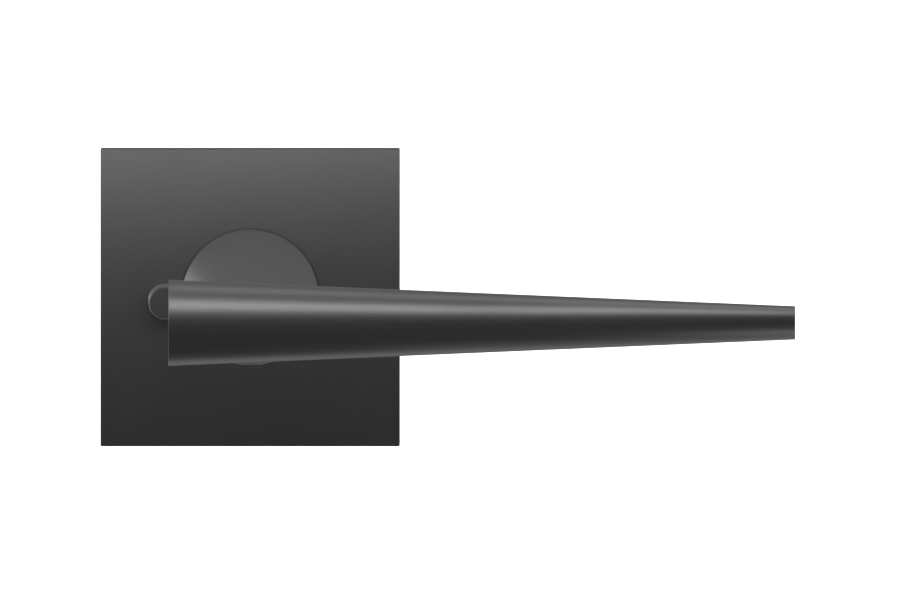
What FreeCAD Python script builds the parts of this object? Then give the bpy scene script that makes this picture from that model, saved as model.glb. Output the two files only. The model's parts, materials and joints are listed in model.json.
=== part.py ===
import FreeCAD, Part
import math
import os
from FreeCAD import Vector

# Door lever handle on a square rose, inside half, with a privacy push button.
# Millimetres. The origin is where the spindle's axis meets the door face.
# +X runs along the lever to its tip, +Y into the door, +Z up.

# Rose
ROSE_SIDE = 66.0
ROSE_THICK = 2.5
ROSE_FACE = 1.0
ROSE_WALL = 1.7
ROSE_CORNER = 0.4
ROSE_EDGE = 0.15

# Lever
LEVER_AXIS_Y = -51.5
LEVER_BUTT_X = -18.0
LEVER_TIP_X = 120.1
LEVER_BUTT_R = 9.5
LEVER_TIP_R = 3.7
LEVER_EDGE = 0.12

# Neck
NECK_BASE_R = 15.05
NECK_TOP_R = 8.3
NECK_BASE_Y = -2.8
NECK_COLLAR_R = 11.8
NECK_SEAT_Y = -2.0
ROSE_HOLE_R = 12.1
ROSE_SEAT_R = 15.5
ROSE_SEAT_DEPTH = 0.5
JOURNAL_R = 10.0
TAIL_R = 9.0
TAIL_START_Y = 9.85
JOURNAL_END_Y = 13.8
FLAT_HALF = 8.5
FLAT_START_Y = 6.5
SPIGOT_R = 5.0
SPIGOT_END_Y = -50.4

# Spindle and screws in the neck
SPINDLE_SIDE = 8.0
SPINDLE_FRONT_Y = -24.5
SPINDLE_BACK_Y = 56.0
SOCKET_SIDE = 8.2
SOCKET_FRONT_Y = -25.0
GRIP_SCREW_R = 2.0
GRIP_SCREW_HEAD_R = 3.5
GRIP_SCREW_SEAT_Y = -34.0
GRIP_SCREW_TIP_Y = -56.5
GRIP_SCREW_HEAD_DEPTH = 4.0
GRIP_SCREW_KEY_DEPTH = 2.2
GRUB_R = 3.0
GRUB_Y = -9.0
GRUB_OUTER_Z = -12.0
GRUB_KEY_DEPTH = 3.5
SPINDLE_EDGE = 0.5

# Backplate and housing, which fills a 54 mm door bore
PLATE_SIDE = 62.0
PLATE_THICK = 1.4
HOUSING_R = 26.5
HOUSING_WALL = 2.0
HOUSING_FLOOR = 1.0
HOUSING_DEPTH = 14.0
RIB_HALF = 1.5
COVER_THICK = 1.5
BACK_Y = HOUSING_DEPTH + COVER_THICK
BOSS_CIRCLE_R = 22.3
BOSS_R = 2.8
BOLT_OFFSET_Z = 19.0
BOLT_R = 2.5
BOLT_SHANK_R = 2.2
BOLT_THREAD_Y = 17.0
BOLT_HEAD_R = 4.6
BOLT_HEAD_END_Y = 0.9
BOLT_BACK_Y = 45.0
BOLT_BOSS_R = 4.5
BOLT_KEY_DEPTH = 1.8
MAGNET_OFFSET = 24.0
MAGNET_R = 4.0
MAGNET_FLOOR_Y = -0.4
SMALL_SCREW_R = 1.2
SMALL_SCREW_THREAD_Y = 8.0
SCREW_HEAD_R = 2.3
SCREW_HEAD_DEPTH = 1.4
SCREW_SLOT_HALF_LENGTH = 1.4
SCREW_SLOT_HALF_WIDTH = 0.3
SCREW_SLOT_FLOOR = 0.6
RIVET_HEAD_R = 2.2
RIVET_HEAD_END_Y = -0.4
RIVET_END_Y = 5.0
KEY_SIZE = 3.0
COVER_HOLE_R = 6.5

# Play between pieces: pressed, free and loose
PRESS = 0.02
FREE = 0.05
LOOSE = 0.25

# Neck bush
SLEEVE_INNER_R = 10.05
SLEEVE_OUTER_R = 10.9
SLEEVE_END_Y = 6.4
FLANGE_R = 11.9
FLANGE_FRONT_Y = -1.9

# Washer and ring that hold the neck in the bush
WASHER_FRONT_Y = 12.0
WASHER_BACK_Y = 12.5
RING_FRONT_Y = 12.6
RING_BACK_Y = 13.6
RING_R = 11.0
RING_GROOVE_R = 8.5
RING_GAP_HALF = 4.0
WASHER_R = 11.8

# Hub, stops and return spring
LEVER_TRAVEL = 45.0
HUB_FRONT_Y = 6.6
HUB_BACK_Y = 9.8
HUB_R = 12.5
LUG_END_X = 17.5
LUG_HALF = 3.0
STOP_CIRCLE_R = 16.0
STOP_R = 1.5
STOP_GAP = 0.1
COIL_R = 12.2
COIL_WIRE_R = 1.0
COIL_TURNS = 1.6
COIL_PITCH = 2.05
COIL_START_Y = 2.1
LEG_END_R = 17.0
POST_CIRCLE_R = 15.5
POST_END_Y = 4.5

# Release cam and catch
CAM_FRONT_Y = 9.9
CAM_BACK_Y = 11.9
CAM_R = 12.0
CATCH_TRAVEL = 1.5
CATCH_GAP = 0.15
CATCH_FRONT_Y = 10.3
CATCH_BACK_Y = 11.5
CATCH_HALF = 4.5
CATCH_END_X = -21.9
CATCH_NOSE_R = 2.0
CATCH_NECK_X = -15.5
CATCH_WINDOW_PLAY = 0.15
RAIL_LIP = 3.5
RAIL_OUTER = 6.2
RAIL_PLAY = 0.1
RAIL_LOW_X = -22.5
RAIL_HIGH_X = -16.6
RAIL_FRONT_Y = 9.6
LEAF_THICK = 0.25
LEAF_HALF = 5.0
LEAF_DEPTH = 0.8
LEAF_END_X = -23.6

# Privacy button
BUTTON_X = -18.82
BUTTON_Z = -0.5
BUTTON_R = 3.58
BUTTON_FRONT_Y = -9.5
BUTTON_BACK_Y = 0.4
BUTTON_EDGE = 0.2
BUTTON_TRAVEL = 3.5
BUTTON_HOLE_R = 3.75
GUIDE_R = 4.7
GUIDE_RIM_R = 5.5
GUIDE_FLOOR = 1.0
GUIDE_BORE_R = 3.65
GUIDE_END_Y = 9.4
ROD_R = 2.0
ROD_FRONT_Y = -4.9
ROD_BACK_Y = 40.0
ROD_BORE_R = 2.08
CATCH_NOTCH_DEPTH = 0.6
CLIP_NOTCH_DEPTH = 0.45
CLIP_R = 3.8
CLIP_SLOT_HALF = 1.2
BUTTON_COIL_R = 2.85
BUTTON_WIRE_R = 0.3
BUTTON_COIL_TURNS = 6
BUTTON_COIL_PLAY = 0.1
CLIP_FRONT_Y = 15.6
CLIP_BACK_Y = 16.2

ALONG_Y = Vector(0, 1, 0)
ORIGIN = Vector(0, 0, 0)


def disc(radius, front_y, back_y, x=0.0, z=0.0):
    """A round bar along Y."""
    return Part.makeCylinder(radius, back_y - front_y, Vector(x, front_y, z), ALONG_Y)


def taper(front_r, back_r, front_y, back_y, x=0.0, z=0.0):
    """A cone along Y."""
    return Part.makeCone(front_r, back_r, back_y - front_y, Vector(x, front_y, z), ALONG_Y)


def tube(outer_r, inner_r, front_y, back_y, x=0.0, z=0.0):
    """A round bar along Y with a bore."""
    return disc(outer_r, front_y, back_y, x, z).cut(disc(inner_r, front_y - 1, back_y + 1, x, z))


def block(low_x, high_x, low_y, high_y, low_z, high_z):
    """A box given by its two corners."""
    return Part.makeBox(high_x - low_x, high_y - low_y, high_z - low_z, Vector(low_x, low_y, low_z))


def square_bar(side, front_y, back_y):
    """A square bar along Y on the spindle's axis."""
    half = side / 2
    return block(-half, half, front_y, back_y, -half, half)


def hexagon(across_flats, depth, base, direction):
    """A hexagonal prism, for a key socket."""
    corner_r = across_flats / math.sqrt(3)
    points = []
    for i in range(7):
        angle = math.radians(60 * i)
        points.append(Vector(corner_r * math.cos(angle), corner_r * math.sin(angle), 0))
    prism = Part.Face(Part.makePolygon(points)).extrude(Vector(0, 0, depth))
    prism.Placement = FreeCAD.Placement(base, FreeCAD.Rotation(Vector(0, 0, 1), direction))
    return prism


def flatted(radius, clearance, front_y, back_y):
    """A round bar with two flats, which keys the hub and the cam to the journal."""
    half = FLAT_HALF + clearance
    sides = block(-half, half, front_y, back_y, -20, 20)
    return disc(radius + clearance, front_y, back_y).common(sides)


def on_circle(radius, degrees):
    """X and Z of a point on a circle round the spindle, from +X towards +Z."""
    angle = math.radians(degrees)
    return radius * math.cos(angle), radius * math.sin(angle)


def edges_at_y(shape, y):
    """Edges that lie wholly in the plane at this Y."""
    return [e for e in shape.Edges if max(abs(v.Point.y - y) for v in e.Vertexes) < 1e-6]


def edges_at_x(shape, x):
    """Edges that lie wholly in the plane at this X."""
    return [e for e in shape.Edges if max(abs(v.Point.x - x) for v in e.Vertexes) < 1e-6]


def coil(radius, wire_r, pitch, turns, spans, start_y, start_degrees, x=0.0, z=0.0):
    """A right-handed wire helix along Y, joined from equal spans. Its start angle runs from +X towards -Z."""
    span_turns = turns / spans
    path = Part.makeHelix(pitch, pitch * span_turns, radius)
    rise = pitch / (2 * math.pi * radius)
    circle = Part.makeCircle(wire_r, Vector(radius, 0, 0), Vector(0, 1, rise))
    span = Part.Wire(path.Edges).makePipeShell([Part.Wire(circle)], True, True)
    wire = span
    for i in range(1, spans):
        following = span.copy()
        following.rotate(ORIGIN, Vector(0, 0, 1), 360 * span_turns * i)
        following.translate(Vector(0, 0, pitch * span_turns * i))
        wire = wire.fuse(following)
    wire.rotate(ORIGIN, Vector(0, 0, 1), start_degrees)
    wire.rotate(ORIGIN, Vector(1, 0, 0), -90)
    wire.translate(Vector(x, start_y, z))
    return wire


def save(name, *solids):
    """Write one node."""
    shape = solids[0] if len(solids) == 1 else Part.makeCompound(list(solids))
    shape.exportStep("parts/" + name + ".step")


# Places of the repeated pieces

BOLT_PLACES = [(0.0, -BOLT_OFFSET_Z), (0.0, BOLT_OFFSET_Z)]
BOSS_PLACES = [on_circle(BOSS_CIRCLE_R, degrees) for degrees in (45, 135, 225, 315)]
MAGNET_PLACES = [(x, z) for x in (-MAGNET_OFFSET, MAGNET_OFFSET) for z in (-MAGNET_OFFSET, MAGNET_OFFSET)]

STOP_ANGLE = math.degrees(math.asin((LUG_HALF + STOP_R + STOP_GAP) / STOP_CIRCLE_R))
STOP_PLACES = [on_circle(STOP_CIRCLE_R, STOP_ANGLE), on_circle(STOP_CIRCLE_R, -LEVER_TRAVEL - STOP_ANGLE)]

LEG_ANGLE = 360 * COIL_TURNS
POST_ANGLE = LEG_ANGLE - math.degrees((COIL_WIRE_R + STOP_R + STOP_GAP) / POST_CIRCLE_R)

# The eccentric pushes the catch by its travel as it turns evenly either side of square to the catch.
HALF_TRAVEL = math.radians(LEVER_TRAVEL / 2)
CAM_OFFSET = CATCH_TRAVEL / (2 * math.sin(HALF_TRAVEL))
CAM_X = CAM_OFFSET * math.sin(HALF_TRAVEL)
CAM_Z = -CAM_OFFSET * math.cos(HALF_TRAVEL)
CATCH_NOSE_X = CAM_X - math.sqrt(CAM_R**2 - CAM_Z**2) - CATCH_GAP


# Fixed pieces

def rose_cover():
    half = ROSE_SIDE / 2
    cover = block(-half, half, -ROSE_THICK, 0, -half, half)
    uprights = [e for e in cover.Edges if abs(e.Length - ROSE_THICK) < 1e-6]
    cover = cover.makeFillet(ROSE_CORNER, uprights)
    cover = cover.makeFillet(ROSE_EDGE, edges_at_y(cover, -ROSE_THICK))
    inner = half - ROSE_WALL
    cover = cover.cut(block(-inner, inner, ROSE_FACE - ROSE_THICK, 1, -inner, inner))
    cover = cover.cut(disc(ROSE_HOLE_R, -ROSE_THICK - 1, 1))
    cover = cover.cut(disc(ROSE_SEAT_R, -ROSE_THICK - 1, ROSE_SEAT_DEPTH - ROSE_THICK))
    return cover.cut(disc(BUTTON_HOLE_R, -ROSE_THICK - 1, 1, BUTTON_X, BUTTON_Z))


def backplate():
    half = PLATE_SIDE / 2
    plate = block(-half, half, -PLATE_THICK, 0, -half, half)
    plate = plate.cut(disc(SLEEVE_OUTER_R + PRESS, -PLATE_THICK - 1, 1))
    plate = plate.cut(disc(GUIDE_R + PRESS, -PLATE_THICK - 1, 1, BUTTON_X, BUTTON_Z))
    plate = plate.cut(disc(GUIDE_RIM_R + FREE, -PLATE_THICK - 1, -PLATE_THICK / 2, BUTTON_X, BUTTON_Z))
    for x, z in BOLT_PLACES:
        plate = plate.cut(bolt_clearance(x, z))
    for x, z in BOSS_PLACES:
        head_end = RIVET_HEAD_END_Y + FREE
        plate = plate.cut(taper(RIVET_HEAD_R + FREE, SMALL_SCREW_R + FREE, -PLATE_THICK, head_end, x, z))
        plate = plate.cut(disc(SMALL_SCREW_R + FREE, -PLATE_THICK, 1, x, z))
    for x, z in MAGNET_PLACES:
        plate = plate.cut(disc(MAGNET_R + FREE, -PLATE_THICK, MAGNET_FLOOR_Y, x, z))
    return plate


def bolt_clearance(x, z):
    """Countersunk hole for one through bolt."""
    head = taper(BOLT_HEAD_R + FREE, BOLT_R + FREE, -PLATE_THICK, BOLT_HEAD_END_Y, x, z)
    return head.fuse(disc(BOLT_R + LOOSE, BOLT_HEAD_END_Y - LOOSE, BACK_Y + 1, x, z))


def cover_magnets():
    return [disc(MAGNET_R, -PLATE_THICK, MAGNET_FLOOR_Y - FREE, x, z) for x, z in MAGNET_PLACES]


def neck_bush():
    sleeve = tube(SLEEVE_OUTER_R, SLEEVE_INNER_R, FLANGE_FRONT_Y, SLEEVE_END_Y)
    flange = tube(FLANGE_R, SLEEVE_INNER_R, FLANGE_FRONT_Y, -PLATE_THICK)
    return sleeve.fuse(flange).removeSplitter()


def spring_housing():
    cup = disc(HOUSING_R, 0, HOUSING_DEPTH)
    cup = cup.cut(disc(HOUSING_R - HOUSING_WALL, HOUSING_FLOOR, HOUSING_DEPTH + 1))
    for x, z in BOSS_PLACES:
        cup = cup.fuse(disc(BOSS_R, HOUSING_FLOOR / 2, HOUSING_DEPTH, x, z))
    for x, z in BOLT_PLACES:
        side = math.copysign(1, z)
        rib_ends = sorted((z + side * BOLT_BOSS_R / 2, side * (HOUSING_R - HOUSING_WALL / 2)))
        cup = cup.fuse(disc(BOLT_BOSS_R, HOUSING_FLOOR / 2, HOUSING_DEPTH, x, z))
        cup = cup.fuse(block(-RIB_HALF, RIB_HALF, HOUSING_FLOOR / 2, HOUSING_DEPTH, *rib_ends))
    cup = cup.cut(disc(SLEEVE_OUTER_R + PRESS, -1, HOUSING_DEPTH))
    cup = cup.cut(disc(GUIDE_R + PRESS, -1, HOUSING_FLOOR + 1, BUTTON_X, BUTTON_Z))
    for x, z in BOLT_PLACES:
        cup = cup.cut(bolt_clearance(x, z))
    for x, z in BOSS_PLACES:
        cup = cup.cut(disc(SMALL_SCREW_R + FREE, -1, RIVET_END_Y + LOOSE, x, z))
        cup = cup.cut(disc(SMALL_SCREW_R + FREE, SMALL_SCREW_THREAD_Y - LOOSE, HOUSING_DEPTH + 1, x, z))
    for x, z in STOP_PLACES + [on_circle(POST_CIRCLE_R, POST_ANGLE)]:
        cup = cup.cut(disc(STOP_R + PRESS, -1, HOUSING_FLOOR + 1, x, z))
    return cup.removeSplitter()


def housing_cover():
    cover = disc(HOUSING_R, HOUSING_DEPTH, BACK_Y)
    for side in (-1, 1):
        cover = cover.fuse(catch_rail(side))
    cover = cover.cut(disc(COVER_HOLE_R, HOUSING_DEPTH - 1, BACK_Y + 1))
    cover = cover.cut(disc(ROD_BORE_R, HOUSING_DEPTH - 1, BACK_Y + 1, BUTTON_X, BUTTON_Z))
    for x, z in BOLT_PLACES:
        cover = cover.cut(disc(BOLT_R + LOOSE, HOUSING_DEPTH - 1, BACK_Y + 1, x, z))
    for x, z in BOSS_PLACES:
        cover = cover.cut(disc(SMALL_SCREW_R + FREE, HOUSING_DEPTH - 1, BACK_Y + 1, x, z))
    return cover.removeSplitter()


def catch_rail(side):
    """A grooved rail that holds one edge of the catch plate."""
    ends = sorted((side * RAIL_LIP, side * RAIL_OUTER))
    groove = sorted((0, side * (CATCH_HALF + RAIL_PLAY)))
    rail = block(RAIL_LOW_X, RAIL_HIGH_X, RAIL_FRONT_Y, HOUSING_DEPTH, *ends)
    front_y, back_y = CATCH_FRONT_Y - RAIL_PLAY, CATCH_BACK_Y + RAIL_PLAY
    return rail.cut(block(RAIL_LOW_X - 1, RAIL_HIGH_X + 1, front_y, back_y, *groove))


def stop_pins():
    return [disc(STOP_R, 0, HUB_BACK_Y - LOOSE, x, z) for x, z in STOP_PLACES]


def spring_post():
    x, z = on_circle(POST_CIRCLE_R, POST_ANGLE)
    return disc(STOP_R, 0, POST_END_Y, x, z)


def return_spring():
    """Torsion spring round the bush: one leg bears on the post, the other enters the hub's lug."""
    end_y = COIL_START_Y + COIL_PITCH * COIL_TURNS
    spring = coil(COIL_R, COIL_WIRE_R, COIL_PITCH, COIL_TURNS, 1, COIL_START_Y, -LEG_ANGLE)
    x, z = on_circle(COIL_R, LEG_ANGLE)
    outward = Vector(x, 0, z)
    root = Vector(x, COIL_START_Y, z)
    leg = Part.makeCylinder(COIL_WIRE_R, LEG_END_R - COIL_R, root, outward)
    tail = disc(COIL_WIRE_R, end_y, HUB_BACK_Y - LOOSE, COIL_R, 0)
    for piece in (leg, tail, Part.makeSphere(COIL_WIRE_R, root)):
        spring = spring.fuse(piece)
    return spring.fuse(Part.makeSphere(COIL_WIRE_R, Vector(COIL_R, end_y, 0))).removeSplitter()


def through_bolts():
    bolts = []
    for x, z in BOLT_PLACES:
        bolt = taper(BOLT_HEAD_R, BOLT_SHANK_R, FREE - PLATE_THICK, BOLT_HEAD_END_Y, x, z)
        bolt = bolt.fuse(disc(BOLT_SHANK_R, BOLT_HEAD_END_Y, BOLT_THREAD_Y, x, z))
        bolt = bolt.fuse(disc(BOLT_R, BOLT_THREAD_Y, BOLT_BACK_Y, x, z))
        bolts.append(bolt.cut(hexagon(KEY_SIZE, BOLT_KEY_DEPTH, Vector(x, -PLATE_THICK, z), ALONG_Y)))
    return bolts


def housing_rivets():
    rivets = []
    for x, z in BOSS_PLACES:
        head = taper(RIVET_HEAD_R, SMALL_SCREW_R, PRESS - PLATE_THICK, RIVET_HEAD_END_Y, x, z)
        rivets.append(head.fuse(disc(SMALL_SCREW_R, RIVET_HEAD_END_Y, RIVET_END_Y, x, z)))
    return rivets


def cover_screws():
    screws = []
    slot = (SCREW_SLOT_HALF_LENGTH, SCREW_SLOT_HALF_WIDTH)
    for x, z in BOSS_PLACES:
        screw = disc(SMALL_SCREW_R, SMALL_SCREW_THREAD_Y, BACK_Y, x, z)
        screw = screw.fuse(disc(SCREW_HEAD_R, BACK_Y, BACK_Y + SCREW_HEAD_DEPTH, x, z))
        for half_x, half_z in (slot, slot[::-1]):
            floor_y = BACK_Y + SCREW_SLOT_FLOOR
            screw = screw.cut(block(x - half_x, x + half_x, floor_y, BACK_Y + 2, z - half_z, z + half_z))
        screws.append(screw)
    return screws


def button_guide():
    guide = disc(GUIDE_R, -PLATE_THICK, GUIDE_END_Y, BUTTON_X, BUTTON_Z)
    guide = guide.fuse(disc(GUIDE_RIM_R, -PLATE_THICK, -PLATE_THICK / 2 - PRESS, BUTTON_X, BUTTON_Z))
    guide = guide.cut(disc(GUIDE_BORE_R, -PLATE_THICK - 1, GUIDE_END_Y - GUIDE_FLOOR, BUTTON_X, BUTTON_Z))
    return guide.cut(disc(ROD_BORE_R, 0, GUIDE_END_Y + 1, BUTTON_X, BUTTON_Z)).removeSplitter()


def button_spring():
    """Compression spring under the button."""
    low_y = BUTTON_BACK_Y + BUTTON_WIRE_R + BUTTON_COIL_PLAY
    high_y = GUIDE_END_Y - GUIDE_FLOOR - BUTTON_WIRE_R - BUTTON_COIL_PLAY
    turns = BUTTON_COIL_TURNS
    pitch = (high_y - low_y) / turns
    return coil(BUTTON_COIL_R, BUTTON_WIRE_R, pitch, turns, turns, low_y, 0, BUTTON_X, BUTTON_Z)


def catch_spring():
    """Bowed leaf between the catch plate's end and the housing wall."""
    front_y = (CATCH_FRONT_Y + CATCH_BACK_Y - LEAF_DEPTH) / 2
    outline = []
    for offset in (0.0, -LEAF_THICK):
        ends = [Vector(LEAF_END_X + offset, front_y, z) for z in (-LEAF_HALF, LEAF_HALF)]
        crown = Vector(CATCH_END_X - RAIL_PLAY + offset, front_y, 0)
        outline.append((ends, Part.Arc(ends[0], crown, ends[1]).toShape()))
    caps = [Part.makeLine(outline[0][0][i], outline[1][0][i]) for i in (0, 1)]
    wire = Part.Wire(Part.__sortEdges__([outline[0][1], caps[1], outline[1][1], caps[0]]))
    return Part.Face(wire).extrude(Vector(0, LEAF_DEPTH, 0))


# Pieces that turn with the lever

def lever_bar():
    """The plain tapered bar."""
    length = LEVER_TIP_X - LEVER_BUTT_X
    base = Vector(LEVER_BUTT_X, LEVER_AXIS_Y, 0)
    return Part.makeCone(LEVER_BUTT_R, LEVER_TIP_R, length, base, Vector(1, 0, 0))


def lever_grip():
    grip = lever_bar()
    grip = grip.makeFillet(LEVER_EDGE, edges_at_x(grip, LEVER_BUTT_X) + edges_at_x(grip, LEVER_TIP_X))
    grip = grip.cut(disc(SPIGOT_R + PRESS, SPIGOT_END_Y - FREE, LEVER_AXIS_Y + 2 * LEVER_BUTT_R))
    return grip.cut(disc(GRIP_SCREW_R, GRIP_SCREW_TIP_Y - 1, SPIGOT_END_Y))


def lever_neck():
    neck = taper(NECK_TOP_R, NECK_BASE_R, LEVER_AXIS_Y, NECK_BASE_Y)
    neck = neck.cut(lever_bar())
    neck = neck.fuse(disc(NECK_COLLAR_R, NECK_BASE_Y, NECK_SEAT_Y))
    neck = neck.fuse(disc(SPIGOT_R, SPIGOT_END_Y, LEVER_AXIS_Y / 2))
    neck = neck.fuse(disc(JOURNAL_R, NECK_SEAT_Y, FLAT_START_Y))
    neck = neck.fuse(flatted(JOURNAL_R, 0, FLAT_START_Y, TAIL_START_Y))
    neck = neck.fuse(flatted(TAIL_R, 0, TAIL_START_Y, JOURNAL_END_Y))
    neck = neck.cut(tube(TAIL_R + 1, RING_GROOVE_R, RING_FRONT_Y - FREE, RING_BACK_Y + FREE))
    neck = neck.cut(square_bar(SOCKET_SIDE, SOCKET_FRONT_Y, JOURNAL_END_Y + 1))
    neck = neck.cut(disc(GRIP_SCREW_HEAD_R + LOOSE, GRIP_SCREW_SEAT_Y, SOCKET_FRONT_Y + 1))
    neck = neck.cut(disc(GRIP_SCREW_R + LOOSE, SPIGOT_END_Y - 1, GRIP_SCREW_SEAT_Y + 1))
    grub_hole = Part.makeCylinder(GRUB_R, 20, Vector(0, GRUB_Y, 0), Vector(0, 0, -1))
    return neck.cut(grub_hole).removeSplitter()


def grip_screw():
    head_end = GRIP_SCREW_SEAT_Y + GRIP_SCREW_HEAD_DEPTH
    screw = disc(GRIP_SCREW_R - PRESS, GRIP_SCREW_TIP_Y, GRIP_SCREW_SEAT_Y)
    screw = screw.fuse(disc(GRIP_SCREW_HEAD_R, GRIP_SCREW_SEAT_Y, head_end))
    return screw.cut(hexagon(KEY_SIZE, GRIP_SCREW_KEY_DEPTH, Vector(0, head_end, 0), Vector(0, -1, 0)))


def grub_screw():
    top_z = -SPINDLE_SIDE / 2
    outer_end = Vector(0, GRUB_Y, GRUB_OUTER_Z)
    screw = Part.makeCylinder(GRUB_R - FREE, top_z - GRUB_OUTER_Z, outer_end, Vector(0, 0, 1))
    return screw.cut(hexagon(KEY_SIZE, GRUB_KEY_DEPTH, outer_end, Vector(0, 0, 1)))


def spindle():
    bar = square_bar(SPINDLE_SIDE, SPINDLE_FRONT_Y, SPINDLE_BACK_Y)
    return bar.makeChamfer(SPINDLE_EDGE, edges_at_y(bar, SPINDLE_FRONT_Y) + edges_at_y(bar, SPINDLE_BACK_Y))


def drive_hub():
    hub = disc(HUB_R, HUB_FRONT_Y, HUB_BACK_Y)
    hub = hub.fuse(block(0, LUG_END_X, HUB_FRONT_Y, HUB_BACK_Y, -LUG_HALF, LUG_HALF))
    hub = hub.cut(flatted(JOURNAL_R, PRESS, HUB_FRONT_Y - 1, HUB_BACK_Y + 1))
    return hub.cut(disc(COIL_WIRE_R + FREE, HUB_FRONT_Y - 1, HUB_BACK_Y + 1, COIL_R, 0)).removeSplitter()


def release_cam():
    cam = disc(CAM_R, CAM_FRONT_Y, CAM_BACK_Y, CAM_X, CAM_Z)
    return cam.cut(flatted(TAIL_R, PRESS, CAM_FRONT_Y - 1, CAM_BACK_Y + 1))


def thrust_washer():
    return tube(WASHER_R, TAIL_R + FREE, WASHER_FRONT_Y, WASHER_BACK_Y)


def retaining_ring():
    ring = tube(RING_R, RING_GROOVE_R + FREE, RING_FRONT_Y, RING_BACK_Y)
    gap = block(-RING_GAP_HALF, RING_GAP_HALF, RING_FRONT_Y - 1, RING_BACK_Y + 1, -RING_R - 1, 0)
    return ring.cut(gap)


# Pieces that slide

def privacy_button():
    button = disc(BUTTON_R, BUTTON_FRONT_Y, BUTTON_BACK_Y, BUTTON_X, BUTTON_Z)
    button = button.makeChamfer(BUTTON_EDGE, edges_at_y(button, BUTTON_FRONT_Y))
    return button.cut(disc(ROD_R + PRESS, ROD_FRONT_Y - FREE, BUTTON_BACK_Y + 1, BUTTON_X, BUTTON_Z))


def lock_rod():
    rod = disc(ROD_R, ROD_FRONT_Y, ROD_BACK_Y, BUTTON_X, BUTTON_Z)
    catch_low = CATCH_FRONT_Y - BUTTON_TRAVEL - RAIL_PLAY
    catch_high = CATCH_BACK_Y - BUTTON_TRAVEL + RAIL_PLAY
    catch_notch_r = ROD_R - CATCH_NOTCH_DEPTH
    rod = rod.cut(tube(ROD_R + 1, catch_notch_r, catch_low, catch_high, BUTTON_X, BUTTON_Z))
    clip_notch_r = ROD_R - CLIP_NOTCH_DEPTH
    clip_low, clip_high = CLIP_FRONT_Y - PRESS, CLIP_BACK_Y + PRESS
    return rod.cut(tube(ROD_R + 1, clip_notch_r, clip_low, clip_high, BUTTON_X, BUTTON_Z))


def rod_clip():
    inner_r = ROD_R - CLIP_NOTCH_DEPTH + FREE
    clip = tube(CLIP_R, inner_r, CLIP_FRONT_Y, CLIP_BACK_Y, BUTTON_X, BUTTON_Z)
    low_z, high_z = BUTTON_Z - CLIP_SLOT_HALF, BUTTON_Z + CLIP_SLOT_HALF
    return clip.cut(block(BUTTON_X - CLIP_R - 1, BUTTON_X, CLIP_FRONT_Y - 1, CLIP_BACK_Y + 1, low_z, high_z))


def catch_plate():
    plate = block(CATCH_END_X, CATCH_NECK_X, CATCH_FRONT_Y, CATCH_BACK_Y, -CATCH_HALF, CATCH_HALF)
    nose_x = CATCH_NOSE_X - CATCH_NOSE_R
    neck = block(CATCH_NECK_X - 1, nose_x, CATCH_FRONT_Y, CATCH_BACK_Y, -CATCH_NOSE_R, CATCH_NOSE_R)
    plate = plate.fuse(neck)
    plate = plate.fuse(disc(CATCH_NOSE_R, CATCH_FRONT_Y, CATCH_BACK_Y, nose_x, 0))
    low_z, high_z = BUTTON_Z - ROD_R - LOOSE, BUTTON_Z + ROD_R + LOOSE
    low_x, high_x = BUTTON_X - ROD_R - CATCH_WINDOW_PLAY, BUTTON_X + ROD_R + CATCH_TRAVEL + LOOSE
    window = block(low_x, high_x, CATCH_FRONT_Y - 1, CATCH_BACK_Y + 1, low_z, high_z)
    return plate.cut(window).removeSplitter()


PIECES = [
    rose_cover, backplate, cover_magnets, neck_bush, spring_housing, housing_cover, stop_pins, spring_post,
    return_spring, through_bolts, housing_rivets, cover_screws, button_guide, button_spring, catch_spring,
    lever_grip, lever_neck, grip_screw, grub_screw, spindle, drive_hub, release_cam, thrust_washer,
    retaining_ring, privacy_button, lock_rod, rod_clip, catch_plate,
]

os.makedirs("parts", exist_ok=True)
for piece in PIECES:
    made = piece()
    save(piece.__name__, *(made if isinstance(made, list) else [made]))
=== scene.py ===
"""Looks of the door lever handle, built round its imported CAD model. Metres, in the CAD's frame."""
import json
import math

import bmesh
import bpy
from mathutils import Euler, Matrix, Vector


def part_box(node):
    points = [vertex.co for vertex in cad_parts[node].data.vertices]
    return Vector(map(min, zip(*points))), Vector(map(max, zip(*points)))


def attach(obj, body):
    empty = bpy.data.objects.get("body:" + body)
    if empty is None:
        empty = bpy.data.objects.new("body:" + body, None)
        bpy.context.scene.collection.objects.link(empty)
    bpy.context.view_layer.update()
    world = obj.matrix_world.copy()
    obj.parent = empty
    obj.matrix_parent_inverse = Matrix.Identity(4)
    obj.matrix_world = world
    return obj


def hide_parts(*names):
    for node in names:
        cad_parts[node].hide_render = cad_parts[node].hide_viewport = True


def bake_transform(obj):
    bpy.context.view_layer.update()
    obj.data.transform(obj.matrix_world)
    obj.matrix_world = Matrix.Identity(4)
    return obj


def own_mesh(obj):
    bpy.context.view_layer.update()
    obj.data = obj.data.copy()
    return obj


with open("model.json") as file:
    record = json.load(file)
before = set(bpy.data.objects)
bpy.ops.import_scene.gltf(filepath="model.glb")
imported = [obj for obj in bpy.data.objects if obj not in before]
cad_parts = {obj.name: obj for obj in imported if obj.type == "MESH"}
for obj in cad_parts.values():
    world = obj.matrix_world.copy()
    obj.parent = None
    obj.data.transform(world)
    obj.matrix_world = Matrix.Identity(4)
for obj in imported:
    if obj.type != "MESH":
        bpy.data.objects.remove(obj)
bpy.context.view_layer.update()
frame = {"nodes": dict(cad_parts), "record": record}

MM = 0.001
FULL_TURN = 2 * math.pi

# The camera looks along +Y from slightly above, in parallel view. The middle of its picture is to the right
# of the rose's centre and slightly below it.
CAMERA_RISE = math.radians(6.5)
CAMERA_DISTANCE = 0.9
CAMERA_NEAR = 0.01
CAMERA_FAR = 20
VIEW_WIDTH = 198.3 * MM
VIEW_SHIFT_X = 44.03 * MM
VIEW_DROP = 0.51 * MM

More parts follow.
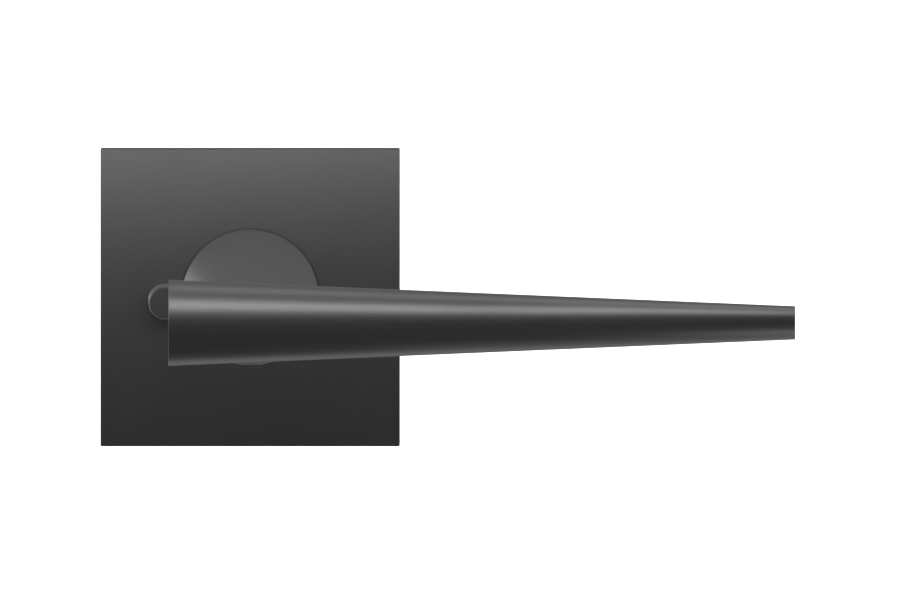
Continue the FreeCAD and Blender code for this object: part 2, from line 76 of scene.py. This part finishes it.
FLOOR_LOW = Vector((-2.5, -1.5))
FLOOR_HIGH = Vector((2.5, 4.0))
FLOOR_LEVEL = -0.16
FLOOR_COLOUR = (0.85, 0.85, 0.85)
FLOOR_ROUGHNESS = 0.9
FLOOR_SHEEN = 0.1

ROOM_COLOUR = (0.112, 0.112, 0.112)

# Two thin bars just above and in front of the lever, which draw the highlight along it.
# Name, place, target, width along X, height, radiance, and tilts in degrees about Y and Z.
KEY_BARS = (
    ("key_bar", (-0.07, -0.078, 0.030), (-0.07, -0.03, 0), 0.25, 0.019, 2.45, -3.75, 0),
    ("key_bar_tip", (0.093, -0.0695, 0.045), (0.093, -0.03, 0), 0.076, 0.02, 2.05, -16, 10),
)

# Long lights that run along X, centred on the lever's length. Name, Y, Z, width, height, radiance.
STUDIO_X = 0.045
STRIPS = (
    ("zenith_box", 0.0, 0.6, 2.0, 0.16, 0.12),
    ("top_box", 0.22, 0.6, 2.0, 0.28, 0.96),
    ("back_box", 0.60, 0.30, 2.0, 0.6, 0.18),
    ("under_card", 0.06, -0.14, 1.2, 0.12, 0.46),
)

# Soft boxes at the sides and small cards near the tip. Name, place, target, width, height, radiance.
BOXES = (
    ("under_tip_card", (0.12, -0.045, -0.13), (0.12, -0.045, 0), 0.16, 0.08, 0.22),
    ("left_box", (-0.55, 0.12, 0.05), (0, 0, 0), 0.5, 0.8, 0.95),
    ("left_back_box", (-0.35, 0.8, -0.2), (0, 0, 0), 0.3, 0.5, 1.3),
    ("right_box", (0.65, 0.15, 0.05), (0, 0, 0), 0.5, 0.8, 0.35),
    ("right_back_box", (0.40, 0.8, -0.2), (0, 0, 0), 0.3, 0.5, 0.25),
    ("tip_card", (0.155, -0.07, -0.06), (0.13, -0.05, 0), 0.12, 0.06, 0.55),
)
FLOOR_LIGHT = ("floor_light", (STUDIO_X, 1.5, 1.3), (STUDIO_X, 1.6, FLOOR_LEVEL), 4.0, 2.2, 4.0)


def link(obj):
    """Put a new object in the scene."""
    bpy.context.scene.collection.objects.link(obj)
    return obj


# Camera, floor and lights

def make_camera():
    """A parallel camera, aimed from the middle of the rose's face."""
    rose_low, rose_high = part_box("rose_cover")
    face_centre = Vector(((rose_low.x + rose_high.x) / 2, rose_low.y, (rose_low.z + rose_high.z) / 2))
    forward = Vector((0, math.cos(CAMERA_RISE), -math.sin(CAMERA_RISE)))
    up = Vector((0, math.sin(CAMERA_RISE), math.cos(CAMERA_RISE)))
    aim = face_centre + Vector((VIEW_SHIFT_X, 0, 0)) - up * VIEW_DROP
    data = bpy.data.cameras.new("camera")
    data.type = "ORTHO"
    data.ortho_scale = VIEW_WIDTH
    data.clip_start = CAMERA_NEAR
    data.clip_end = CAMERA_FAR
    camera = link(bpy.data.objects.new("camera", data))
    camera.location = aim - forward * CAMERA_DISTANCE
    camera.rotation_euler = (math.pi / 2 - CAMERA_RISE, 0, 0)
    bpy.context.scene.camera = camera


def make_floor():
    """A plain pale floor, well below the handle and going far back."""
    mesh = bpy.data.meshes.new("floor")
    low, high = FLOOR_LOW, FLOOR_HIGH
    outline = ((low.x, low.y), (high.x, low.y), (high.x, high.y), (low.x, high.y))
    mesh.from_pydata([(x, y, FLOOR_LEVEL) for x, y in outline], [], [(0, 1, 2, 3)])
    floor = link(bpy.data.objects.new("floor", mesh))
    material = bpy.data.materials.new("floor_pale")
    material.use_nodes = True
    shader = material.node_tree.nodes["Principled BSDF"]
    shader.inputs["Base Color"].default_value = (*FLOOR_COLOUR, 1)
    shader.inputs["Roughness"].default_value = FLOOR_ROUGHNESS
    shader.inputs["Specular IOR Level"].default_value = FLOOR_SHEEN
    mesh.materials.append(material)
    floor.visible_glossy = False


def area_light(name, place, target, width, height, radiance):
    """A rectangle of light that faces its target, with its width along X, and shines with this radiance."""
    data = bpy.data.lights.new(name, "AREA")
    data.shape = "RECTANGLE"
    data.size = width
    data.size_y = height
    data.energy = radiance * width * height * math.pi
    light = link(bpy.data.objects.new(name, data))
    light.location = place
    light.rotation_euler = (Vector(target) - Vector(place)).to_track_quat("-Z", "Y").to_euler()
    light.visible_camera = False
    return light


def make_lights():
    """A dim room, the key bars, the strips and boxes round the handle, and a light for the floor."""
    world = bpy.data.worlds.new("studio")
    world.use_nodes = True
    world.node_tree.nodes["Background"].inputs["Color"].default_value = (*ROOM_COLOUR, 1)
    bpy.context.scene.world = world
    for *bar, tilt_y, tilt_z in KEY_BARS:
        tilt = Euler((0, math.radians(tilt_y), math.radians(tilt_z)))
        area_light(*bar).rotation_euler.rotate(tilt)
    for name, y, z, width, height, radiance in STRIPS:
        area_light(name, (STUDIO_X, y, z), (STUDIO_X, 0, 0), width, height, radiance)
    for box in BOXES:
        area_light(*box)
    area_light(*FLOOR_LIGHT).visible_glossy = False


# Materials

# Columns of the node editor, from left to right, and the drop from one node to the next.
INPUT_COLUMN = -1200
MAPPING_COLUMN = -1000
TEXTURE_COLUMN = -800
REMAP_COLUMN = -500
MIX_COLUMN = -300
BUMP_COLUMN = -150
NODE_DROP = 40

CLOUD_DETAIL = 3
GRAIN_DETAIL = 4
# The clouds and the grain run from one extreme to the other between these values of their noise.
NOISE_SPREAD = (0.3, 0.7)

# Edge wear, which on the button's rim is a painted highlight, starts where the rounded normal agrees with the
# face's own by the first of these, and is full at the second.
EDGE_AGREEMENT = (0.995, 0.85)
EDGE_SAMPLES = 6
# The clouds thin the wear out, down to this share of it.
WEAR_SPREAD = (0.35, 0.65)
LEAST_WEAR = 0.35

# A crevice is where other surfaces are this near. There the colour is darkened into a painted shade, starting
# at the first share of open space around it and darkest at the second, with this share of the colour.
CREVICE_REACH = 0.9 * MM
CREVICE_OPENNESS = (0.9, 0.4)
PAINTED_CREVICE_SHADE = 0.5
CREVICE_SAMPLES = 8

# How far light gets into nylon, in all and by channel.
SUBSURFACE_SCALE = 1 * MM
SUBSURFACE_RADIUS = (1.0, 0.9, 0.7)


def add_node(tree, kind, column, **settings):
    """A node in a column of the editor, below the ones before it."""
    node = tree.nodes.new(kind)
    node.location = (column, -NODE_DROP * len(tree.nodes))
    for key, value in settings.items():
        setattr(node, key, value)
    return node


def noise(tree, coordinates, scale, detail, stretch=(1, 1, 1)):
    """Noise in object space with cells 1 / scale metres across, drawn out along the axes with low stretch."""
    mapping = add_node(tree, "ShaderNodeMapping", MAPPING_COLUMN)
    mapping.inputs["Scale"].default_value = stretch
    texture = add_node(tree, "ShaderNodeTexNoise", TEXTURE_COLUMN)
    texture.inputs["Scale"].default_value = scale
    texture.inputs["Detail"].default_value = detail
    tree.links.new(coordinates, mapping.inputs["Vector"])
    tree.links.new(mapping.outputs["Vector"], texture.inputs["Vector"])
    return texture.outputs["Fac"]


def remap(tree, value, source, target=(0, 1)):
    """Carry a value over from its source range to a target range, and keep it inside."""
    node = add_node(tree, "ShaderNodeMapRange", REMAP_COLUMN)
    for socket, number in zip(("From Min", "From Max", "To Min", "To Max"), (*source, *target)):
        node.inputs[socket].default_value = number
    tree.links.new(value, node.inputs["Value"])
    return node.outputs["Result"]


def blend_colours(tree, factor, first, second):
    """Mix two colours, where the first may be a socket."""
    node = add_node(tree, "ShaderNodeMix", MIX_COLUMN, data_type="RGBA")
    tree.links.new(factor, node.inputs["Factor"])
    if isinstance(first, tuple):
        node.inputs["A"].default_value = (*first, 1)
    else:
        tree.links.new(first, node.inputs["A"])
    node.inputs["B"].default_value = (*second, 1)
    return node.outputs["Result"]


def calculate(tree, operation, first, second):
    """Arithmetic on two values, where the second may be a number."""
    node = add_node(tree, "ShaderNodeMath", MIX_COLUMN, operation=operation)
    tree.links.new(first, node.inputs[0])
    if isinstance(second, (int, float)):
        node.inputs[1].default_value = second
    else:
        tree.links.new(second, node.inputs[1])
    return node.outputs["Value"]


def edge_wear_and_highlight(tree, normal, clouds):
    """A mask of the edges, where the rounded normal leaves the face's own, thinned out by the clouds."""
    surface = add_node(tree, "ShaderNodeNewGeometry", TEXTURE_COLUMN)
    agreement = add_node(tree, "ShaderNodeVectorMath", REMAP_COLUMN, operation="DOT_PRODUCT")
    tree.links.new(normal, agreement.inputs[0])
    tree.links.new(surface.outputs["Normal"], agreement.inputs[1])
    edge = remap(tree, agreement.outputs["Value"], EDGE_AGREEMENT)
    return calculate(tree, "MULTIPLY", edge, remap(tree, clouds, WEAR_SPREAD, (LEAST_WEAR, 1)))


def painted_crevice_shade_mask(tree):
    """A mask of the places that other surfaces crowd, where shade is painted into the colour."""
    crevice = add_node(tree, "ShaderNodeAmbientOcclusion", TEXTURE_COLUMN, samples=CREVICE_SAMPLES)
    crevice.inputs["Distance"].default_value = CREVICE_REACH
    return remap(tree, crevice.outputs["AO"], CREVICE_OPENNESS)


def make_material(name, spec):
    """A metal or plastic with mottled colour, uneven gloss, a fine grain, rubbed edges (on the button also a
    painted highlight) and painted shade in crevices.
    """
    material = bpy.data.materials.new(name)
    material.use_nodes = True
    tree = material.node_tree
    shader = tree.nodes["Principled BSDF"]
    coordinates = add_node(tree, "ShaderNodeTexCoord", INPUT_COLUMN).outputs["Object"]

    clouds = noise(tree, coordinates, spec["cloud_scale"], CLOUD_DETAIL)
    grain = noise(tree, coordinates, spec["grain_scale"], GRAIN_DETAIL, spec.get("stretch", (1, 1, 1)))
    rounded = add_node(tree, "ShaderNodeBevel", TEXTURE_COLUMN, samples=EDGE_SAMPLES)
    rounded.inputs["Radius"].default_value = spec["edge_radius"]
    wear_and_highlight = edge_wear_and_highlight(tree, rounded.outputs["Normal"], clouds)

    mottled = blend_colours(tree, remap(tree, clouds, NOISE_SPREAD), spec["colour"], spec["second_colour"])
    # Edges take the edge colour: wear on most materials, and a painted highlight on the button's rim.
    worn_and_highlit = blend_colours(tree, wear_and_highlight, mottled, spec["edge_colour"])
    # Crevices get a painted shade: the colour is darkened where ambient occlusion finds other surfaces near.
    painted_shade_colour = tuple(PAINTED_CREVICE_SHADE * channel for channel in spec["colour"])
    painted_crevice_shaded = blend_colours(tree, painted_crevice_shade_mask(tree), worn_and_highlit, painted_shade_colour)
    tree.links.new(painted_crevice_shaded, shader.inputs["Base Color"])

    gloss = remap(tree, grain, NOISE_SPREAD, spec["roughness"])
    rubbed = calculate(tree, "SUBTRACT", gloss, calculate(tree, "MULTIPLY", wear_and_highlight, spec["edge_polish"]))
    tree.links.new(rubbed, shader.inputs["Roughness"])

    bump = add_node(tree, "ShaderNodeBump", BUMP_COLUMN)
    bump.inputs["Strength"].default_value = spec["bump"]
    bump.inputs["Distance"].default_value = spec["bump_depth"]
    tree.links.new(grain, bump.inputs["Height"])
    if spec.get("round_edges"):
        tree.links.new(rounded.outputs["Normal"], bump.inputs["Normal"])
    tree.links.new(bump.outputs["Normal"], shader.inputs["Normal"])

    shader.inputs["Metallic"].default_value = spec["metallic"]
    if "subsurface" in spec:
        shader.inputs["Subsurface Weight"].default_value = spec["subsurface"]
        shader.inputs["Subsurface Scale"].default_value = SUBSURFACE_SCALE
        shader.inputs["Subsurface Radius"].default_value = SUBSURFACE_RADIUS
    return material


# The clouds and the grain are 1 / cloud_scale and 1 / grain_scale metres across. Stretch is low along the
# axis that the grain is drawn out on.
SURFACES = {
    # Satin coat: fine and even, with a slightly brighter rub on the edges.
    "graphite_coat": {
        "colour": (0.190, 0.190, 0.190), "second_colour": (0.198, 0.198, 0.198),
        "edge_colour": (0.23, 0.23, 0.235), "edge_radius": 0.2 * MM, "edge_polish": 0.05,
        "metallic": 1.0, "roughness": (0.405, 0.435),
        "cloud_scale": 70, "grain_scale": 5500,
        "bump": 0.25, "bump_depth": 0.004 * MM,
    },
    # Bright steel with lines drawn along the bars.
    "plain_steel": {
        "colour": (0.50, 0.49, 0.475), "second_colour": (0.43, 0.42, 0.41),
        "edge_colour": (0.62, 0.61, 0.6), "edge_radius": 0.15 * MM, "edge_polish": 0.08,
        "metallic": 1.0, "roughness": (0.24, 0.42),
        "cloud_scale": 120, "grain_scale": 3500, "stretch": (1, 0.03, 1),
        "bump": 0.35, "bump_depth": 0.02 * MM, "round_edges": True,
    },
    # Zinc electroplate, faintly blue, with a soft spangle.
    "zinc_plate": {
        "colour": (0.56, 0.585, 0.62), "second_colour": (0.64, 0.65, 0.655),
        "edge_colour": (0.72, 0.73, 0.74), "edge_radius": 0.2 * MM, "edge_polish": 0.06,
        "metallic": 1.0, "roughness": (0.26, 0.40),
        "cloud_scale": 260, "grain_scale": 1500,
        "bump": 0.3, "bump_depth": 0.015 * MM, "round_edges": True,
    },
    # Die-cast zinc alloy as it leaves the mould.
    "cast_housing": {
        "colour": (0.36, 0.365, 0.37), "second_colour": (0.44, 0.44, 0.445),
        "edge_colour": (0.55, 0.55, 0.56), "edge_radius": 0.35 * MM, "edge_polish": 0.1,
        "metallic": 1.0, "roughness": (0.42, 0.60),
        "cloud_scale": 180, "grain_scale": 1100,
        "bump": 0.5, "bump_depth": 0.06 * MM, "round_edges": True,
    },
    # Moulded natural nylon.
    "nylon": {
        "colour": (0.76, 0.74, 0.68), "second_colour": (0.72, 0.70, 0.64),
        "edge_colour": (0.80, 0.78, 0.73), "edge_radius": 0.15 * MM, "edge_polish": 0.04,
        "metallic": 0.0, "roughness": (0.40, 0.52), "subsurface": 0.2,
        "cloud_scale": 150, "grain_scale": 2500,
        "bump": 0.3, "bump_depth": 0.01 * MM, "round_edges": True,
    },
    # Oil-tempered spring wire and strip.
    "spring_steel": {
        "colour": (0.24, 0.235, 0.23), "second_colour": (0.17, 0.165, 0.16),
        "edge_colour": (0.36, 0.35, 0.34), "edge_radius": 0.08 * MM, "edge_polish": 0.05,
        "metallic": 1.0, "roughness": (0.26, 0.40),
        "cloud_scale": 300, "grain_scale": 4000,
        "bump": 0.3, "bump_depth": 0.01 * MM,
    },
    # Bright nickel on the magnets.
    "magnet_plating": {
        "colour": (0.66, 0.635, 0.59), "second_colour": (0.60, 0.58, 0.54),
        "edge_colour": (0.74, 0.71, 0.66), "edge_radius": 0.15 * MM, "edge_polish": 0.03,
        "metallic": 1.0, "roughness": (0.12, 0.24),
        "cloud_scale": 350, "grain_scale": 2500,
        "bump": 0.2, "bump_depth": 0.01 * MM, "round_edges": True,
    },
    # Black oxide that has rubbed through on the corners.
    "black_oxide": {
        "colour": (0.045, 0.045, 0.05), "second_colour": (0.07, 0.068, 0.068),
        "edge_colour": (0.30, 0.29, 0.28), "edge_radius": 0.1 * MM, "edge_polish": 0.1,
        "metallic": 1.0, "roughness": (0.34, 0.50),
        "cloud_scale": 400, "grain_scale": 3000,
        "bump": 0.35, "bump_depth": 0.02 * MM, "round_edges": True,
    },
}
# The button's rim gets a far brighter edge colour: partly rubbed wear, partly a painted highlight on its
# chamfer.
BUTTON_SURFACE_PAINTED_HIGHLIGHT = {**SURFACES["graphite_coat"], "edge_colour": (0.62, 0.62, 0.62)}
MATERIALS = {name: make_material(name, spec) for name, spec in SURFACES.items()}

# All other pieces are kept out of reflections, so that the neck doesn't mirror the rose.
SEEN_IN_REFLECTIONS = ("lever_grip", "privacy_button")


def dress_cad_nodes():
    """Give each CAD node the material of its slot."""
    for part in frame["record"]["subparts"]:
        node = frame["nodes"][part["node"]]
        node.data.materials.clear()
        node.data.materials.append(MATERIALS[part["material_slot"]])
        node.visible_glossy = part["node"] in SEEN_IN_REFLECTIONS
    # The button's material carries the painted highlight on its rim.
    frame["nodes"]["privacy_button"].data.materials[0] = make_material("graphite_button_painted_highlight", BUTTON_SURFACE_PAINTED_HIGHLIGHT)


# Pieces that stand for CAD nodes

SHARP_ANGLE = math.radians(35)


def skinned(name, bars, node, slot):
    """A piece that stands for a CAD node. Each bar is a list of rings of points, closed at its ends."""
    mesh = bmesh.new()
    for bar in bars:
        rings = [[mesh.verts.new(point) for point in ring] for ring in bar]
        for ring, following in zip(rings, rings[1:]):
            for i in range(len(ring)):
                j = (i + 1) % len(ring)
                mesh.faces.new((ring[i], ring[j], following[j], following[i]))
        mesh.faces.new(rings[0][::-1])
        mesh.faces.new(rings[-1])
    bmesh.ops.recalc_face_normals(mesh, faces=mesh.faces)
    data = bpy.data.meshes.new(name)
    mesh.to_mesh(data)
    mesh.free()
    data.shade_smooth()
    data.set_sharp_from_angle(angle=SHARP_ANGLE)
    data.materials.append(MATERIALS[slot])
    piece = link(bpy.data.objects.new(name, data))
    piece.visible_glossy = False
    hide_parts(node)
    return piece


# Turned pieces with threads and sockets, along Y

# The depth of a metric thread, as a share of its pitch.
THREAD_DEPTH = 0.6134
THREAD_ROWS_PER_PITCH = 8
# How steeply the flank climbs, in depths per pitch, and how far below the root its line starts, in depths.
FLANK_SLOPE = 2.6
ROOT_DROP = 0.15


def turned(name, places, rows, segments, node, slot, body):
    """A piece of revolution at each place. Each row gives a radius and a Y for an angle."""
    angles = [FULL_TURN * i / segments for i in range(segments)]

    def ring(row, centre_x, centre_z):
        points = []
        for angle in angles:
            radius, y = row(angle)
            points.append((centre_x + radius * math.cos(angle), y, centre_z + radius * math.sin(angle)))
        return points

    bars = [[ring(row, x, z) for row in rows] for x, z in places]
    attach(skinned(name, bars, node, slot), body)


def plain(radius, y):
    """A flat round row."""
    return lambda angle: (radius, y)


def hex_socket(across_flats, y):
    """A row in the shape of a hexagon."""
    sixth = math.pi / 3
    return lambda angle: (across_flats / 2 / math.cos(angle % sixth - sixth / 2), y)


def thread_rows(major_r, pitch, start_y, end_y, run_out):
    """Rows of a screw thread that fades out over a short length at each end."""
    depth = THREAD_DEPTH * pitch
    count = round((end_y - start_y) / pitch * THREAD_ROWS_PER_PITCH)
    rows = []
    for i in range(count + 1):
        y = start_y + (end_y - start_y) * i / count
        full = min(1.0, (y - start_y) / run_out, (end_y - y) / run_out)

        def row(angle, y=y, full=full):
            phase = (y / pitch - angle / FULL_TURN) % 1
            crest = min(1.0, max(0.0, FLANK_SLOPE * abs(phase - 0.5) - ROOT_DROP))
            return major_r - depth * (1 - crest * full), y
        rows.append(row)
    return rows


def cross_recess(half_length, half_width, angle):
    """Radius of a plus-shaped outline."""
    quarter = math.pi / 2
    from_arm = abs((angle + quarter / 2) % quarter - quarter / 2)
    if math.tan(from_arm) <= half_width / half_length:
        return half_length / math.cos(from_arm)
    return half_width / math.sin(from_arm)


def make_through_bolts():
    """Countersunk bolts with a hexagon socket and an M5 thread."""
    low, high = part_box("through_bolts")
    head_r = high.x
    head_depth = 2.25 * MM
    rim = 0.15 * MM
    socket_width = 3 * MM
    socket_depth = 1.75 * MM
    shank_r = 2.2 * MM
    thread_r = 2.5 * MM
    pitch = 0.8 * MM
    thread_start = 17 * MM
    shoulder = 0.2 * MM
    tip_length = 0.6 * MM
    tip_taper = 0.9 * MM
    rows = [
        hex_socket(socket_width, low.y + socket_depth),
        hex_socket(socket_width, low.y),
        plain(head_r - rim, low.y),
        plain(head_r, low.y + rim),
        plain(shank_r, low.y + head_depth),
        plain(shank_r, thread_start - shoulder),
        *thread_rows(thread_r, pitch, thread_start, high.y - tip_length, pitch),
        plain(thread_r - tip_taper, high.y),
    ]
    offset_z = high.z - head_r
    places = [(0, -offset_z), (0, offset_z)]
    turned("threaded_bolts", places, rows, segments=48, node="through_bolts", slot="zinc_plate", body="rose")


def make_cover_screws():
    """Pan-head screws with a domed head, a cross recess and a coarse thread."""
    low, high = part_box("cover_screws")
    head_r = 2.3 * MM
    head_depth = 1.4 * MM
    seat = high.y - head_depth
    rim = 0.12 * MM
    dome = 0.55 * MM
    dome_steps = 5
    slot_half_length = 1.4 * MM
    slot_half_width = 0.3 * MM
    slot_depth = 0.8 * MM
    slot_taper = 0.75
    point_r = 0.3 * MM
    point_length = 0.4 * MM
    thread_r = 1.2 * MM
    pitch = 0.6 * MM
    run_out = 0.5 * MM
    neck_r = 0.95 * MM
    neck_length = 0.6 * MM

    def domed(share):
        """A row of the dome, from the recess at share 0 to the rim at share 1."""
        def row(angle):
            inner = cross_recess(slot_half_length, slot_half_width, angle)
            radius = inner + (head_r - rim - inner) * share
            return radius, high.y - dome * (radius / head_r) ** 2
        return row

    def recess_floor(angle):
        return slot_taper * cross_recess(slot_half_length, slot_half_width, angle), high.y - slot_depth

    rows = [
        plain(point_r, low.y),
        *thread_rows(thread_r, pitch, low.y + point_length, seat - neck_length, run_out),
        plain(neck_r, seat),
        plain(head_r - rim, seat),
        plain(head_r, seat + rim),
        plain(head_r, high.y - dome - rim),
        *(domed(1 - step / dome_steps) for step in range(dome_steps + 1)),
        recess_floor,
    ]
    offset = high.x - head_r
    places = [(x, z) for x in (-offset, offset) for z in (-offset, offset)]
    turned("pan_screws", places, rows, segments=72, node="cover_screws", slot="black_oxide", body="rose")


# Springs


def round_wire(points, wire_r, segments=16):
    """Rings of a round wire that follows a line of points."""
    side = (points[1] - points[0]).orthogonal()
    rings = []
    for i, point in enumerate(points):
        along = (points[min(i + 1, len(points) - 1)] - points[max(i - 1, 0)]).normalized()
        side = (side - along * side.dot(along)).normalized()
        up = along.cross(side)
        angles = [FULL_TURN * k / segments for k in range(segments)]
        rings.append([point + (side * math.cos(a) + up * math.sin(a)) * wire_r for a in angles])
    return rings


def bend(start, corner, end, steps=8):
    """Points of a smooth bend at a corner."""
    shares = [step / steps for step in range(steps + 1)]
    return [start * (1 - t) ** 2 + corner * 2 * t * (1 - t) + end * t ** 2 for t in shares]


def make_button_spring():
    """A compression spring with closed end turns."""
    low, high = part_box("button_spring")
    wire_r = 0.3 * MM
    coil_r = (high.x - low.x) / 2 - wire_r
    turns = 6
    steps = 32
    centre_x, centre_z = (low.x + high.x) / 2, (low.z + high.z) / 2
    closed_pitch = 2 * wire_r
    open_pitch = (high.y - low.y - 2 * wire_r - 2 * closed_pitch) / (turns - 2)
    points = []
    for i in range(turns * steps + 1):
        turn = i / steps
        open_turns = min(max(turn - 1, 0), turns - 2)
        y = low.y + wire_r + open_turns * open_pitch + (turn - open_turns) * closed_pitch
        angle = FULL_TURN * turn
        points.append(Vector((centre_x + coil_r * math.cos(angle), y, centre_z + coil_r * math.sin(angle))))
    piece = skinned("coiled_button_spring", [round_wire(points, wire_r)], "button_spring", "spring_steel")
    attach(piece, "rose")
    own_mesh(piece)


def make_catch_spring():
    """A bowed leaf that flattens against the housing's wall."""
    low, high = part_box("catch_spring")
    thick = 0.25 * MM
    half_length = high.z
    bow = high.x - low.x - thick
    bow_r = (half_length ** 2 + bow ** 2) / (2 * bow)
    steps = 32
    rings = []
    for i in range(steps + 1):
        z = half_length * (2 * i / steps - 1)
        back_x = high.x - thick - bow_r + math.sqrt(bow_r ** 2 - z ** 2)
        rings.append([(x, y, z) for x, y in ((back_x, low.y), (back_x + thick, low.y),
                                             (back_x + thick, high.y), (back_x, high.y))])
    piece = skinned("bowed_catch_spring", [rings], "catch_spring", "spring_steel")
    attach(piece, "rose")
    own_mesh(piece)


def make_return_spring():
    """A torsion spring: its leg bears on the post, and its tail reaches the hub, which winds the coil up when
    the lever turns; this piece stays still.
    """
    coil_r = 12.2 * MM
    wire_r = 1.0 * MM
    bend_r = 1.6 * MM
    turns = 1.6
    pitch = 2.05 * MM
    start_y = 2.1 * MM
    leg_end_r = 17.0 * MM
    tail_end_y = 9.55 * MM

    def on_coil(turn):
        angle = FULL_TURN * (turns - turn)
        return Vector((coil_r * math.cos(angle), start_y + pitch * turn, coil_r * math.sin(angle)))

    bend_turn = bend_r / (FULL_TURN * coil_r)
    root, head = on_coil(0), on_coil(turns)
    outward = Vector((root.x, 0, root.z)).normalized()
    steps = 96
    span = turns - 2 * bend_turn
    points = [root + outward * (leg_end_r - coil_r)]
    points += bend(root + outward * bend_r, root, on_coil(bend_turn))
    points += [on_coil(bend_turn + span * i / steps) for i in range(1, steps)]
    points += bend(on_coil(turns - bend_turn), head, head + Vector((0, bend_r, 0)))
    points.append(Vector((head.x, tail_end_y, head.z)))
    piece = skinned("wound_return_spring", [round_wire(points, wire_r)], "return_spring", "spring_steel")
    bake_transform(piece)


make_camera()
make_floor()
make_lights()
bpy.context.scene.view_settings.view_transform = "Standard"
dress_cad_nodes()
make_through_bolts()
make_cover_screws()
make_button_spring()
make_catch_spring()
make_return_spring()
